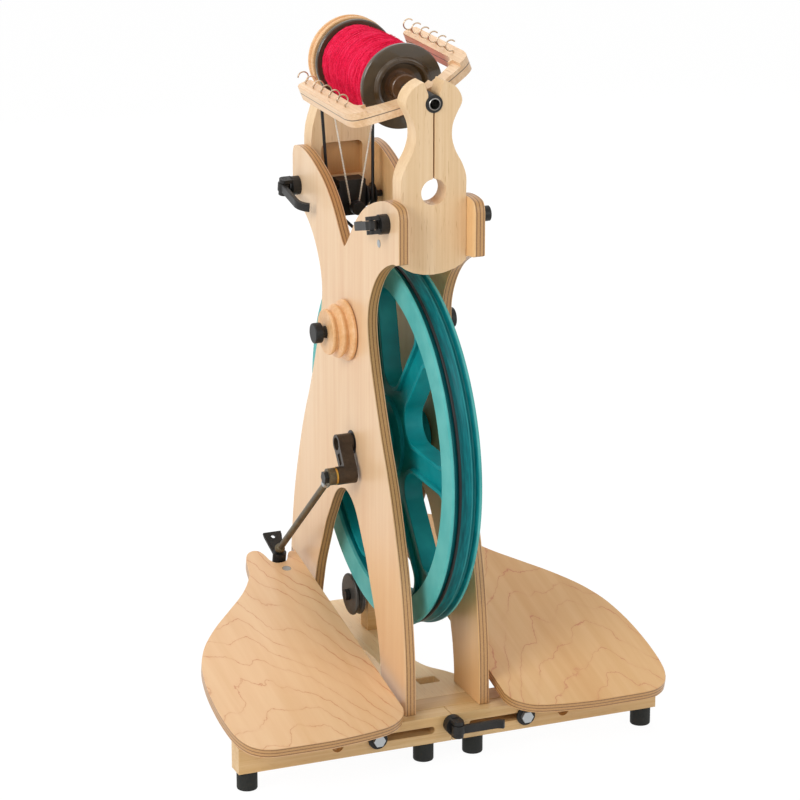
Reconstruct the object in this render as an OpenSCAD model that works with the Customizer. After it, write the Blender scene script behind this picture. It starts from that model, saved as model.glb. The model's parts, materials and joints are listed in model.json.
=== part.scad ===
// Folding double-treadle spinning wheel, at rest, seen from the spinner's side: +X right, +Y back.
// Heights are from the floor; most pieces are placed from the wheel's axle.

/* [Drive wheel] */
// outer diameter of the drive wheel
wheel_d = 352; // [340:1:360]
// width of the rim
rim_w = 29.5; // [27:0.5:34]
// radial depth of the rim
rim_depth = 25; // [21:1:28]
// number of spokes
spoke_count = 7; // [6:1:8]
// width of one spoke
spoke_w = 27; // [22:1:30]
// diameter of the axle
axle_d = 12; // [10:1:14]

/* [Frame] */
// height of the axle above the floor
axle_h = 267; // [262:1:275]
// thickness of the plywood uprights
ply = 10; // [8:0.5:12]
// clear distance between the uprights
frame_gap = 63; // [61:1:68]
// half depth of an upright at its feet
leg_reach = 150; // [144:1:156]
// rise of the uprights' lobes above the axle
lobe_rise = 251; // [246:1:256]

/* [Base] */
// height of the rubber feet
foot_h = 18; // [14:1:24]
// diameter of the rubber feet
foot_d = 19; // [15:1:22]
// height of the rails and treadle bars
bar_h = 26; // [22:1:30]
// depth of a treadle bar, front to back
bar_t = 19; // [15:1:20]
// reach of a treadle bar from the middle
bar_reach = 207; // [203:1:215]
// distance of the bar's pivot bolt from the middle
bolt_x = 73.4; // [72:0.2:76]
// travel of the bar along its slot
slot_travel = 53; // [48:1:54]

/* [Treadles] */
// thickness of a treadle
treadle_t = 9.5; // [8:0.5:12]
// length scale of a treadle behind its hinge
treadle_len = 285; // [278:1:290]
// distance of the outer edge from the middle
treadle_reach = 214; // [208:1:220]

/* [Footmen] */
// radius of the crank
crank_r = 30.5; // [26:0.5:33]
// forward lean of the left crank from straight down, degrees
crank_lean = 36; // [20:1:50]
// length of a footman from ball to crank pin
footman_len = 182.5; // [180:0.5:186]
// diameter of the footman rod
rod_d = 6.4; // [5:0.2:7]

/* [Flyer] */
// height of the orifice above the axle
orifice_rise = 337.4; // [334:0.5:342]
// bore of the orifice
orifice_d = 9.5; // [8:0.5:10]
// turn of the flyer at rest, degrees
flyer_turn = 21.5; // [0:0.5:45]
// half distance between the flyer's arms
arm_reach = 56; // [54:0.5:60]
// diameter of the bobbin's flanges
bobbin_d = 78; // [70:1:84]
// loops of yarn in the outer layer
yarn_loops = 24; // [12:1:24]
// diameter of one strand of yarn
yarn_d = 3.2; // [2.4:0.1:3.3]

/* [Maidens] */
// thickness of the front maiden
front_maiden_t = 20; // [18:1:22]
// thickness of the back maiden
back_maiden_t = 19; // [17:1:21]

/* [Drive band] */
// diameter of the drive band
band_d = 3; // [2:0.2:3.4]
// diameter of the brake cord
cord_d = 1.8; // [1.2:0.1:2]

/* [Hidden] */
$fn = 72;
seat = 0.02;
run = 0.05;
apart = 0.3;
ply_in = frame_gap/2;
ply_out = frame_gap/2 + ply;
axle_r = axle_d/2;
wheel_r = wheel_d/2;
rim_in = wheel_r - rim_depth;
rail_top = foot_h + bar_h - axle_h;
rail_low = foot_h - axle_h;
leg_drop = -rail_top;
panel_y = 17.5;
rail_y0 = -100;
rail_y1 = -123.7;
bar_y1 = rail_y1 - apart;
bar_y0 = bar_y1 - bar_t;
bar_mid_y = (bar_y0 + bar_y1)/2;
bar_top = rail_top - apart;
bolt_z = rail_low + bar_h/2;
hinge_y = -137;
hinge_z = bar_top + 4.8;
hinge_pin_r = 2;
knuckle_r = 3.2;
treadle_w0 = 3.5;
treadle_w1 = treadle_w0 + treadle_t;
rod_x = 69.5;
ball_r = 5;
ball_v = treadle_len - 17.2;
ball_w = treadle_w1 + 10;
ball_reach = norm([ball_v, ball_w]);
ball_lift = atan2(ball_w, ball_v);
pin_left = [-crank_r*sin(crank_lean), -crank_r*cos(crank_lean)];
pin_right = -pin_left;
hinge_at = [hinge_y, hinge_z];
function ball_angle(p) =
    let (d = p - hinge_at, n = norm(d))
    atan2(d[1], d[0]) - acos((ball_reach*ball_reach + n*n - footman_len*footman_len)/(2*ball_reach*n));
tilt_left = ball_angle(pin_left) - ball_lift;
tilt_right = ball_angle(pin_right) - ball_lift;
function ball_at(p) = hinge_at + ball_reach*[cos(ball_angle(p)), sin(ball_angle(p))];
toe_v = -39;
front_reach = hinge_y + toe_v*cos(tilt_right) - treadle_w1*sin(tilt_right);
back_reach = max(wheel_r, panel_y + leg_reach);
y_shift = -(front_reach + back_reach)/2;
crank_x0 = ply_out + 0.8;
crank_x1 = ply_out + 15.5;
boss_x = ply_out + 22.2;
washer_x = boss_x + 0.6;
front_pivot = [-88, orifice_rise - 106.4];
back_pivot = [135, orifice_rise - 124.4];
front_maiden_y = -96;
back_maiden_y = 128;
peg_at = [10, 106];
peg_r = 5.5;
base_lever_z = bolt_z + 4;
lever_pivot = 14.6;
spindle_r = 4;
tube_r = 5.5;
bush_r = 8;
whorl_y = 118;
whorl_groove_r = 25.2;
band_r = band_d/2;
band_gap = 0.6;
wheel_groove_r = wheel_r - 5;
band_x = -6;
idler_at = [107, 205];
idler_x = 18.5;
idler_groove_r = 8;
idler_r = 11;
shaft_r = 3;
cord_r = cord_d/2;
brake_y = 97;
brake_r = 27;
knob_at = [0, 96.4, 198];
neck_r = 2.5;
roller_r = 20.5;
roller_gap = 8.00183;
roller_z = -186;
roller_at = [sqrt(pow(wheel_r + roller_r + roller_gap, 2) - roller_z*roller_z), roller_z];
yarn_core_r = 30;
yarn_r = yarn_d/2;
yarn_y0 = -17;
yarn_y1 = 91;

// shared shapes

module at_axle() {
    translate([0, y_shift, axle_h])
        children();
}

module xcyl(x0, x1, r) {
    translate([x0, 0, 0])
        rotate([0, 90, 0])
            cylinder(r = r, h = x1 - x0);
}

module ycyl(y0, y1, r) {
    translate([0, y0, 0])
        rotate([-90, 0, 0])
            cylinder(r = r, h = y1 - y0);
}

// a flat piece drawn in depth and height, from x0 to x1
module side_plate(x0, x1, points) {
    translate([x0, 0, 0])
        rotate([90, 0, 90])
            linear_extrude(x1 - x0)
                polygon(points);
}

// a flat piece drawn in width and height, from y0 back to y1
module front_plate(y0, y1, points) {
    translate([0, y1, 0])
        rotate([90, 0, 0])
            linear_extrude(y1 - y0)
                polygon(points);
}

module box(x0, x1, y0, y1, z0, z1) {
    translate([x0, y0, z0])
        cube([x1 - x0, y1 - y0, z1 - z0]);
}

module sided(side) {
    if (side < 0) {
        mirror([1, 0, 0])
            children();
    } else {
        children();
    }
}

function curve_at(a, b, c, d, t) =
    0.5*(2*b + (c - a)*t + (2*a - 5*b + 4*c - d)*t*t + (3*b - a - 3*c + d)*t*t*t);
function curve(p, n) =
    let (m = len(p) - 1)
    concat([for (i = [0:m - 1]) for (j = [0:n - 1])
        curve_at(p[max(i - 1, 0)], p[i], p[i + 1], p[min(i + 2, m)], j/n)], [p[m]]);
function mirrored(p) = [for (i = [len(p) - 1:-1:0]) [-p[i][0], p[i][1]]];
function arc(c, r, a0, a1, n) = [for (i = [0:n]) c + r*[cos(a0 + (a1 - a0)*i/n), sin(a0 + (a1 - a0)*i/n)]];
function unit(v) = v/norm(v);

// a round tube along a route; refs give one direction across the route at each point
module tube(route, refs, r, sides, closed) {
    m = len(route);
    rings = [for (i = [0:m - 1])
        let (p0 = route[closed ? (i + m - 1) % m : max(i - 1, 0)],
            p1 = route[closed ? (i + 1) % m : min(i + 1, m - 1)],
            t = unit(p1 - p0),
            n1 = unit(refs[i] - t*(refs[i]*t)),
            n2 = cross(t, n1))
        for (j = [0:sides - 1])
            route[i] + r*(cos(360*j/sides)*n1 + sin(360*j/sides)*n2)];
    last = closed ? m - 1 : m - 2;
    walls = [for (i = [0:last]) for (j = [0:sides - 1])
        let (a = i*sides + j,
            b = i*sides + (j + 1) % sides,
            c = ((i + 1) % m)*sides + (j + 1) % sides,
            d = ((i + 1) % m)*sides + j)
        for (f = [[a, d, c], [a, c, b]]) f];
    ends = closed ? [] : concat(
        [for (j = [1:sides - 2]) [0, j, j + 1]],
        [for (j = [1:sides - 2]) [(m - 1)*sides, (m - 1)*sides + j + 1, (m - 1)*sides + j]]);
    polyhedron(points = rings, faces = concat(walls, ends));
}

// uprights

lobe_half = curve([[0, 183], [6, 188], [13, 196], [22, 207], [31, 216.5], [42.5, 226], [54, 233.5],
    [69, 240.5], [84, 246], [100, 250], [116, 251], [127, 249.5], [131, 246], [133, 240]], 3);
waist_half = curve([[133, 200], [127.5, 198], [119, 197], [108, 193], [97, 187.5], [86, 180],
    [75, 169], [66, 156], [60, 143], [57.4, 130], [58, 117], [61, 102], [67, 83], [74.5, 63],
    [83, 42], [92.5, 20], [103, -1], [113, -24], [122.5, -50], [132, -80], [138, -103],
    [143.5, -132], [148, -165], [149.5, -190], [150, -223]], 3);
arch_half = curve([[90, -223], [89.5, -207], [86, -185], [82, -171], [77, -155], [70, -139],
    [61, -121], [51.5, -101.5], [44, -90], [37, -79], [30, -69], [22.7, -61], [12, -54.5], [0, -51.5]], 3);
panel_half = concat(lobe_half, waist_half, arch_half);
function panel_z(z) = z < 0 ? z*leg_drop/223 : z*lobe_rise/251;
panel_side = [for (p = panel_half) [p[0]*leg_reach/150, panel_z(p[1])]];
panel_points = [for (p = concat(panel_side, mirrored(panel_side))) [panel_y + p[0], p[1]]];

module upright(side) {
    sided(side)
        difference() {
            side_plate(ply_in, ply_out, panel_points);
            xcyl(ply_in - 5, ply_out + 5, 11 + seat);
            translate([0, front_pivot[0], front_pivot[1]])
                xcyl(ply_in - 5, ply_out + 5, shaft_r + seat);
            translate([0, back_pivot[0], back_pivot[1]])
                xcyl(ply_in - 5, ply_out + 5, shaft_r + seat);
            translate([0, peg_at[0], peg_at[1]])
                xcyl(ply_in - 5, ply_out + 5, peg_r + seat);
            translate([0, -69, 208])
                xcyl(ply_out - 4, ply_out + 5, 3.5 + seat);
        }
}

module left_upright() {
    color("#E3C39B")
        at_axle()
            upright(-1);
}

module right_upright() {
    color("#E3C39B")
        at_axle()
            upright(1);
}

// base

module front_rail() {
    color("#CFA878")
        at_axle()
            difference() {
                box(-88, 88, rail_y1, rail_y0, rail_low, rail_top);
                for (s = [-1, 1])
                    translate([s*bolt_x, 0, bolt_z])
                        ycyl(rail_y1 - 5, rail_y0 + 5, 2.4 + seat);
                translate([0, 0, base_lever_z])
                    ycyl(rail_y1 - 5, rail_y1 + 16, 2.5 + seat);
            }
}

plank_half = concat([[44, rail_y0], [44, -66]],
    curve([[43, -60], [34, -44], [23, -28], [17.5, -8], [16, 14], [17.5, 36], [23, 56], [34, 74], [43, 90]], 3),
    [[44, 96], [44, 165]]);

module base_plank() {
    color("#CFA878")
        at_axle()
            difference() {
                translate([0, 0, rail_low])
                    linear_extrude(bar_h)
                        polygon(concat(plank_half, mirrored(plank_half)));
                box(0, 20, -67, -53, rail_top - 9, rail_top + 5);
                translate([10, -60, rail_top - 16])
                    cylinder(r = 2 + seat, h = 20);
            }
}

module rear_feet() {
    color("#232323")
        at_axle()
            for (s = [-1, 1])
                translate([s*32, 150, -axle_h])
                    cylinder(r = foot_d/2, h = foot_h);
}

module axle_bearings() {
    color("#3A3A3C")
        at_axle()
            for (s = [-1, 1])
                sided(s)
                    difference() {
                        union() {
                            xcyl(ply_in, ply_out + 0.4, 11);
                            xcyl(ply_in - 2, ply_in, 13);
                        }
                        xcyl(ply_in - 5, ply_out + 5, axle_r + run);
                    }
}

// pivot bolts of the bars, plank screw, roller bolt, idler shaft and two inserts
module frame_bolts() {
    color("#3B3A3A")
        at_axle() {
            for (s = [-1, 1])
                translate([s*bolt_x, 0, bolt_z]) {
                    ycyl(bar_y0 - 2.4, rail_y0, 2.4);
                    ycyl(bar_y0 - 2.2, bar_y0 - 0.2, 9);
                    translate([0, bar_y0 - 2.2, 0])
                        rotate([90, 0, 0])
                            cylinder(r = 5.8, h = 4.2, $fn = 6);
                }
            translate([10, -60, rail_top - 16])
                cylinder(r = 2, h = 8);
            translate([10, -60, rail_top - 9])
                cylinder(r = 4, h = 2.6);
            translate([0, roller_at[0], roller_at[1]]) {
                xcyl(-14, 18, 3);
                xcyl(-17, -12.4, 5.5);
                xcyl(-1.6, 4, 5.5);
            }
            translate([0, idler_at[0], idler_at[1]])
                xcyl(-ply_in, ply_in, shaft_r);
            for (s = [-1, 1])
                sided(s)
                    translate([0, -69, 208])
                        xcyl(ply_out - 4, ply_out + 0.4, 3.5);
        }
}

module roller_block() {
    color("#CFA878")
        at_axle()
            difference() {
                union() {
                    box(4, 16, roller_at[0] - 9, roller_at[0] + 9, rail_top, roller_at[1]);
                    translate([0, roller_at[0], roller_at[1]])
                        xcyl(4, 16, 9);
                }
                translate([0, roller_at[0], roller_at[1]])
                    xcyl(-20, 20, 3 + seat);
            }
}

module rear_roller() {
    color("#26272A")
        at_axle()
            translate([-7, roller_at[0], roller_at[1]])
                rotate([0, 90, 0])
                    rotate_extrude()
                        polygon([[3 + run, -5], [roller_r - 1, -5], [roller_r, -4], [roller_r, -2.6],
                            [roller_r - 3, -0.6], [roller_r - 3, 0.6], [roller_r, 2.6], [roller_r, 4],
                            [roller_r - 1, 5], [3 + run, 5]]);
}

// idlers, band and brake

module idler_block() {
    color("#1E1F21")
        at_axle()
            difference() {
                box(-13.2, 13.2, 101, 119, 188, 222);
                translate([0, idler_at[0], idler_at[1]])
                    xcyl(-20, 20, shaft_r + seat);
                translate([0, 0, knob_at[2]])
                    ycyl(90, 114, neck_r + run);
            }
}

module idler(x) {
    translate([x, idler_at[0], idler_at[1]])
        rotate([0, 90, 0])
            rotate_extrude()
                polygon([[shaft_r + run, -4.6], [idler_r, -4.6], [idler_r, -3.6],
                    [idler_groove_r, -2], [idler_groove_r, 2], [idler_r, 3.6], [idler_r, 4.6],
                    [shaft_r + run, 4.6]]);
}

module left_idler() {
    color("#2C2D30")
        at_axle()
            idler(-idler_x);
}

module right_idler() {
    color("#2C2D30")
        at_axle()
            idler(idler_x);
}

band_wheel_r = wheel_groove_r + band_r + band_gap;
band_idler_r = idler_groove_r + band_r + band_gap;
band_whorl_r = whorl_groove_r + band_r + band_gap;
band_turn = atan2(idler_at[1], idler_at[0]);
band_open = acos((band_wheel_r + band_idler_r)/norm(idler_at));
front_leave = band_turn + band_open;
back_leave = band_turn - band_open;
function on_wheel(a) = [band_x, band_wheel_r*cos(a), band_wheel_r*sin(a)];
function on_idler(x, a) = [x, idler_at[0] + band_idler_r*cos(a), idler_at[1] + band_idler_r*sin(a)];
function on_whorl(a) = [band_whorl_r*cos(a), whorl_y, orifice_rise + band_whorl_r*sin(a)];
band_route = concat(
    [for (i = [0:5]) on_idler(-idler_x, front_leave + 180 + (180 - front_leave)*i/5)],
    [for (i = [0:11]) on_whorl(183.7 - 187.4*i/11)],
    [for (i = [0:3]) on_idler(idler_x, 171 + (back_leave + 9)*i/3)],
    [for (i = [0:48]) on_wheel(back_leave - (360 - 2*band_open)*i/48)]);

module drive_band() {
    color("#17181A")
        at_axle()
            tube(band_route, [for (p = band_route) [1, 1, 0]], band_r, 8, true);
}

brake_turn_r = brake_r + cord_r + 0.5;
neck_turn_r = neck_r + cord_r + apart;
cord_lean = asin((brake_turn_r - neck_turn_r)/(orifice_rise - knob_at[2]));
cord_route = concat(
    [for (i = [0:16]) let (a = 180 + cord_lean - (180 + 2*cord_lean)*i/16)
        [brake_turn_r*cos(a), brake_y, orifice_rise + brake_turn_r*sin(a)]],
    [for (i = [0:8]) let (a = -cord_lean - (180 - 2*cord_lean)*i/8)
        [neck_turn_r*cos(a), knob_at[1], knob_at[2] + neck_turn_r*sin(a)]]);

module brake_cord() {
    color("#E9E4D6")
        at_axle()
            tube(cord_route, [for (p = cord_route) [0, 1, 0]], cord_r, 8, true);
}

module brake_knob() {
    color("#1E1F21")
        at_axle()
            translate([0, 0, knob_at[2]]) {
                ycyl(knob_at[1] - 3, 112, neck_r);
                ycyl(knob_at[1] - 11, knob_at[1] - 3, 6.5);
            }
}

// quick releases: hub with two cheeks, rod and nut; the cam lever is a piece of its own

module lever_hub() {
    difference() {
        union() {
            cylinder(r = 9, h = 8);
            for (s = [-1, 1])
                translate([0, s*6.2, 0]) {
                    translate([-5, -1.8, 7])
                        cube([10, 3.6, lever_pivot - 7]);
                    translate([0, 0, lever_pivot])
                        rotate([90, 0, 0])
                            cylinder(r = 5, h = 3.6, center = true);
                }
        }
        translate([0, 0, lever_pivot])
            rotate([90, 0, 0])
                cylinder(r = 2 + run, h = 30, center = true);
    }
}

// the lever's tip bends toward the hub's foot, or away from it
module cam_lever(length, inward) {
    translate([0, 0, lever_pivot]) {
        rotate([90, 0, 0])
            cylinder(r = 6, h = 8, center = true);
        translate([0, -4, 0])
            cube([length - 12, 8, 4]);
        translate([length - 12, 0, inward ? -12 : 16])
            rotate([inward ? -90 : 90, 0, 0])
                rotate([0, 0, -90])
                    rotate_extrude(angle = inward ? 68 : 42)
                        translate([12, -4])
                            square([4, 8]);
        rotate([90, 0, 0])
            cylinder(r = 2, h = 16, center = true);
    }
}

module front_release() {
    translate([-ply_out, front_pivot[0], front_pivot[1]])
        rotate([0, -90, 0])
            rotate([0, 0, 105])
                children();
}

module back_release() {
    translate([-ply_out, back_pivot[0], back_pivot[1]])
        rotate([0, -90, 0])
            rotate([0, 0, -100])
                children();
}

module base_release() {
    translate([0, bar_y0 - 0.2, base_lever_z])
        rotate([90, 0, 0])
            children();
}

module quick_releases() {
    color("#2B2B2D")
        at_axle() {
            front_release()
                lever_hub();
            back_release()
                lever_hub();
            base_release()
                lever_hub();
            for (p = [front_pivot, back_pivot])
                translate([0, p[0], p[1]]) {
                    xcyl(-ply_out - 2, ply_out + 2, shaft_r);
                    xcyl(ply_out, ply_out + 6, 4.5);
                    xcyl(ply_out + 5, ply_out + 15, 7);
                }
            translate([0, 0, base_lever_z])
                ycyl(bar_y0 - 2, rail_y1 + 16, 2.5);
        }
}

module front_lever() {
    color("#37373A")
        at_axle()
            front_release()
                cam_lever(42, true);
}

module back_lever() {
    color("#37373A")
        at_axle()
            back_release()
                cam_lever(50, true);
}

module base_lever() {
    color("#37373A")
        at_axle()
            base_release()
                cam_lever(46, false);
}

module storage_pegs() {
    color("#1E1F21")
        at_axle()
            for (s = [-1, 1])
                sided(s)
                    translate([0, peg_at[0], peg_at[1]]) {
                        xcyl(ply_in, ply_out + (s < 0 ? 27 : 16), peg_r);
                        xcyl(ply_out + (s < 0 ? 26 : 15), ply_out + (s < 0 ? 34 : 23), 9.5);
                    }
}

module stored_whorl() {
    color("#D2A673")
        at_axle()
            translate([-ply_out - 0.6, peg_at[0], peg_at[1]])
                rotate([0, -90, 0])
                    rotate_extrude()
                        polygon([[peg_r + run, 0], [27.5, 0], [28.5, 1], [28.5, 3], [27.5, 4],
                            [22.5, 6.5], [24.2, 9], [25, 9.8], [25, 11.8], [24, 12.8],
                            [19, 15.2], [20.6, 17.6], [21.4, 18.4], [21.4, 20.2], [20.6, 21],
                            [peg_r + run, 21]]);
}

// drive wheel

module wheel_rim() {
    color("#2C8F8B")
        at_axle()
            rotate([0, 90, 0])
                rotate_extrude($fn = 144)
                    polygon([[rim_in, -rim_w/2], [wheel_r - 1.2, -rim_w/2], [wheel_r, -rim_w/2 + 1.2],
                        [wheel_r, -rim_w/2 + 2.6], [wheel_r - 2, -rim_w/2 + 3],
                        [wheel_groove_r, band_x - 5], [wheel_groove_r, band_x + 5],
                        [wheel_r - 1.4, 4.6], [wheel_r - 1.4, 6.4], [wheel_r - 4, 7.2],
                        [wheel_r - 4, 9.6], [wheel_r, 10.6], [wheel_r, rim_w/2 - 1.2],
                        [wheel_r - 1.2, rim_w/2], [rim_in, rim_w/2]]);
}

half_step = 180/spoke_count;
function window(grow) =
    let (side = spoke_w/2 - grow,
        tip_r = 20 + grow,
        tip_at = (side + tip_r)/sin(half_step),
        out_r = rim_in - 6 + grow,
        nook_r = 14 + grow,
        nook_a = half_step - asin((side + nook_r)/(out_r - nook_r)))
    concat(arc([tip_at, 0], tip_r, 90 + half_step, 270 - half_step, 12),
        arc((out_r - nook_r)*[cos(nook_a), -sin(nook_a)], nook_r, 270 - half_step, 360 - nook_a, 8),
        arc([0, 0], out_r, -nook_a + 2, nook_a - 2, 6),
        arc((out_r - nook_r)*[cos(nook_a), sin(nook_a)], nook_r, nook_a, 90 + half_step, 8));

module window_at(k, grow, half) {
    rotate([90, 0, 90])
        rotate([0, 0, 180 + half_step + 2*half_step*k])
            translate([0, 0, -half])
                linear_extrude(2*half)
                    polygon(window(grow));
}

module wheel_spokes() {
    color("#2C8F8B")
        at_axle()
            difference() {
                union() {
                    xcyl(-5, 5, rim_in - seat);
                    for (k = [0:spoke_count - 1])
                        window_at(k, 4, 9);
                    xcyl(-ply_in + 2.6, ply_in - 2.6, 23);
                    xcyl(-9, 9, 40);
                }
                for (k = [0:spoke_count - 1])
                    window_at(k, 0, 12);
                xcyl(-60, 60, axle_r + seat);
            }
}

module axle() {
    color("#6D6A67")
        at_axle()
            xcyl(4 - crank_x1, crank_x1 - 4, axle_r);
}

module crank(side, pin) {
    sided(side)
        rotate([atan2(pin[1], pin[0]), 0, 0])
            difference() {
                union() {
                    xcyl(crank_x0, crank_x1, 8.7);
                    translate([0, crank_r, 0])
                        xcyl(crank_x0 + 3.4, boss_x, 8.5);
                    box(crank_x0 + 2.7, crank_x1, 1, crank_r - 1, -7.7, 7.7);
                }
                xcyl(crank_x0 - 5, boss_x + 5, axle_r + seat);
                translate([0, crank_r, 0])
                    xcyl(boss_x - 8, boss_x + 5, 3);
                box(crank_x1 - 1.4, crank_x1 + 3.6, axle_r + 3.7, crank_r - 9.9, -3, 3);
            }
}

module left_crank() {
    color("#3A322C")
        at_axle()
            crank(-1, pin_left);
}

module right_crank() {
    color("#3A322C")
        at_axle()
            crank(1, pin_right);
}

// front maiden and what it carries

front_half = concat([[0, 182], [10, 182.9], [20, 185.6], [27, 189.2], [ply_in - 0.3, 193]],
    curve([[ply_in - 0.3, 258], [31, 270.5], [26.8, 282.5], [21, 293], [17.4, 305], [17.8, 317],
        [21.7, 327], [26.2, 335.5], [26.6, 341], [23.5, 348], [18, 353.5], [11, 357], [4, 357.6]], 3));
function lifted(p) = [for (q = p) [q[0], q[1] + orifice_rise - 337.4]];

module front_maiden() {
    color("#E5B97C")
        at_axle()
            difference() {
                front_plate(front_maiden_y, front_maiden_y + front_maiden_t,
                    lifted(concat(front_half, mirrored(front_half))));
                translate([0, 0, orifice_rise]) {
                    ycyl(-110, -60, bush_r + seat);
                    box(-5.5, 5.5, -110, -60, 0, 30);
                    front_plate(-110, -60, [[-5.5, 9], [5.5, 9], [10, 21], [-10, 21]]);
                    box(-0.8, 0.8, -110, -60, -68, -4);
                    translate([0, 0, -79.8])
                        ycyl(-110, -60, 12);
                }
                translate([0, front_pivot[0], front_pivot[1]])
                    xcyl(-40, 40, shaft_r + run);
            }
}

module front_bearing() {
    color("#1B1B1C")
        at_axle()
            translate([0, 0, orifice_rise])
                difference() {
                    ycyl(front_maiden_y - 0.6, front_maiden_y + front_maiden_t, bush_r);
                    ycyl(-110, -60, tube_r + run);
                }
}

module at_flyer() {
    translate([0, 0, orifice_rise])
        rotate([0, -flyer_turn, 0])
            children();
}

yoke_outer = concat([[0, -74], [10, -74]],
    curve([[14, -71.5], [28, -65], [arm_reach - 14, -57.5], [arm_reach - 3, -50.5],
        [arm_reach + 4.5, -42], [arm_reach + 7, -30]], 4),
    [[arm_reach + 7, 82], [arm_reach + 4, 86]]);
yoke_inner = concat([[arm_reach - 4, 86], [arm_reach - 7, 82]],
    curve([[arm_reach - 7, -26], [arm_reach - 9.5, -34], [arm_reach - 17, -41], [28, -48.5],
        [16, -54.5], [10, -58]], 4));
yoke_half = concat(yoke_outer, yoke_inner, [[0, -58]]);
hook_y = [for (i = [0:5]) 78 - 20*i];
hook_r = 5;
wire_r = 0.65;

module flyer_yoke() {
    color("#D9A25F")
        at_axle()
            at_flyer()
                difference() {
                    translate([0, 0, -7])
                        linear_extrude(14)
                            polygon(concat(yoke_half, mirrored(yoke_half)));
                    ycyl(-80, -50, tube_r + seat);
                    for (s = [-1, 1])
                        for (y = hook_y)
                            translate([s*arm_reach, y, 2])
                                cylinder(r = wire_r + seat, h = 10, $fn = 24);
                    for (s = [-1, 1])
                        sided(s)
                            box(15, arm_reach - 8, -80, -38, 4, 12);
                }
}

module flyer_hooks() {
    color("#B98A6A")
        at_axle()
            at_flyer()
                for (s = [-1, 1])
                    for (y = hook_y)
                        sided(s)
                            translate([arm_reach, y, 0]) {
                                translate([0, 0, 2])
                                    cylinder(r = wire_r, h = 7, $fn = 24);
                                translate([0, 0, 9 + hook_r])
                                    rotate([90, 0, 0])
                                        rotate([0, 0, 20])
                                            rotate_extrude(angle = 250, $fn = 48)
                                                translate([hook_r, 0])
                                                    circle(r = wire_r, $fn = 24);
                            }
}

module flyer_shaft() {
    color("#8C8A87")
        at_axle()
            translate([0, 0, orifice_rise])
                rotate([-90, 0, 0])
                    rotate_extrude()
                        polygon([[orifice_d/2, -98], [tube_r - 0.4, -98], [tube_r, -97.6],
                            [tube_r, -57], [spindle_r, -56.6], [spindle_r, 145], [spindle_r - 1, 146],
                            [0, 146], [0, -63], [orifice_d/2, -63]]);
}

module whorl() {
    color("#DDB27C")
        at_axle()
            translate([0, 0, orifice_rise])
                rotate([-90, 0, 0])
                    rotate_extrude()
                        polygon([[spindle_r + seat, 100], [39, 100], [40, 101], [40, 103.4],
                            [35.5, 105.4], [35.5, 106.8], [40, 108.8], [40, 111], [39, 112], [29, 112],
                            [29, 114], [whorl_groove_r, whorl_y - 2], [whorl_groove_r, whorl_y + 2],
                            [29, 122], [29, 123.4], [28.4, 124], [spindle_r + seat, 124]]);
}

bobbin_r = bobbin_d/2;

module bobbin() {
    color("#4B4030")
        at_axle()
            translate([0, 0, orifice_rise])
                rotate([-90, 0, 0])
                    rotate_extrude()
                        polygon([[spindle_r + run, -29], [11.5, -29], [12.5, -28], [12.5, -19.4], [20.6, -19.4],
                            [22.2, -25], [24.6, -25.6], [26, -25], [27.4, -22.6], [bobbin_r - 1, -22.6],
                            [bobbin_r, -21.6], [bobbin_r, -18], [bobbin_r - 1, yarn_y0], [12, yarn_y0],
                            [12, yarn_y1], [bobbin_r - 1, yarn_y1], [bobbin_r, yarn_y1 + 1],
                            [bobbin_r, yarn_y1 + 3.6], [bobbin_r - 1, yarn_y1 + 4.2], [brake_r + 3, 95.2],
                            [brake_r, 96], [brake_r, 98], [brake_r + 3, 98.8], [brake_r + 3, 99.4],
                            [spindle_r + run, 99.4]]);
}

// yarn: a plain core and one outer layer wound as a single strand
lay_r = yarn_core_r + yarn_r + apart;
bend_r = 3;
wind_y0 = yarn_y0 + apart + yarn_d + bend_r;
wind_y1 = yarn_y1 - apart - yarn_d - bend_r;
wind_pitch = (wind_y1 - wind_y0)/yarn_loops;
wind_n = 24*yarn_loops;
// the route unrolled: distance around the core, then depth
wind_flat = concat(
    [[-bend_r, yarn_y0 + apart], [-bend_r, yarn_y0 + apart + yarn_d]],
    [for (i = [1:3]) [-bend_r*cos(22.5*i), wind_y0 - bend_r + bend_r*sin(22.5*i)]],
    [for (i = [0:wind_n]) [2*PI*lay_r*i/24, wind_y0 + wind_pitch*i/24]],
    [for (i = [1:3]) [2*PI*lay_r*yarn_loops + bend_r*sin(22.5*i), wind_y1 + bend_r - bend_r*cos(22.5*i)]],
    [[2*PI*lay_r*yarn_loops + bend_r, yarn_y1 - apart - yarn_d],
        [2*PI*lay_r*yarn_loops + bend_r, yarn_y1 - apart]]);
function wind_dir(s) = [cos(180*s/(PI*lay_r)), 0, sin(180*s/(PI*lay_r))];
wind_route = [for (p = wind_flat) lay_r*wind_dir(p[0]) + [0, p[1], 0]];
wind_gap = min([for (i = [0:wind_n - 16]) for (j = [i + 14:min(i + 38, wind_n + 8)])
    norm(wind_route[i] - wind_route[j])]) - yarn_d;
echo(least_gap_of_yarn = wind_gap);  // yarn

module yarn() {
    color("#CC1F45")
        at_axle()
            translate([0, 0, orifice_rise]) {
                difference() {
                    ycyl(yarn_y0, yarn_y1, yarn_core_r);
                    ycyl(yarn_y0 - 5, yarn_y1 + 5, 12 + seat);
                }
                tube(wind_route, [for (p = wind_flat) wind_dir(p[0])], yarn_r, 6, false);
            }
}

// back maiden

back_half = concat([[0, 188], [ply_in - 3.5, 188], [ply_in - 0.5, 191]],
    curve([[ply_in - 0.5, 257], [29.5, 270], [24.5, 287], [20.5, 305], [19, 322], [18.6, 338],
        [16.5, 347], [12, 351.5]], 3), [[0, 351.5]]);

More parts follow.
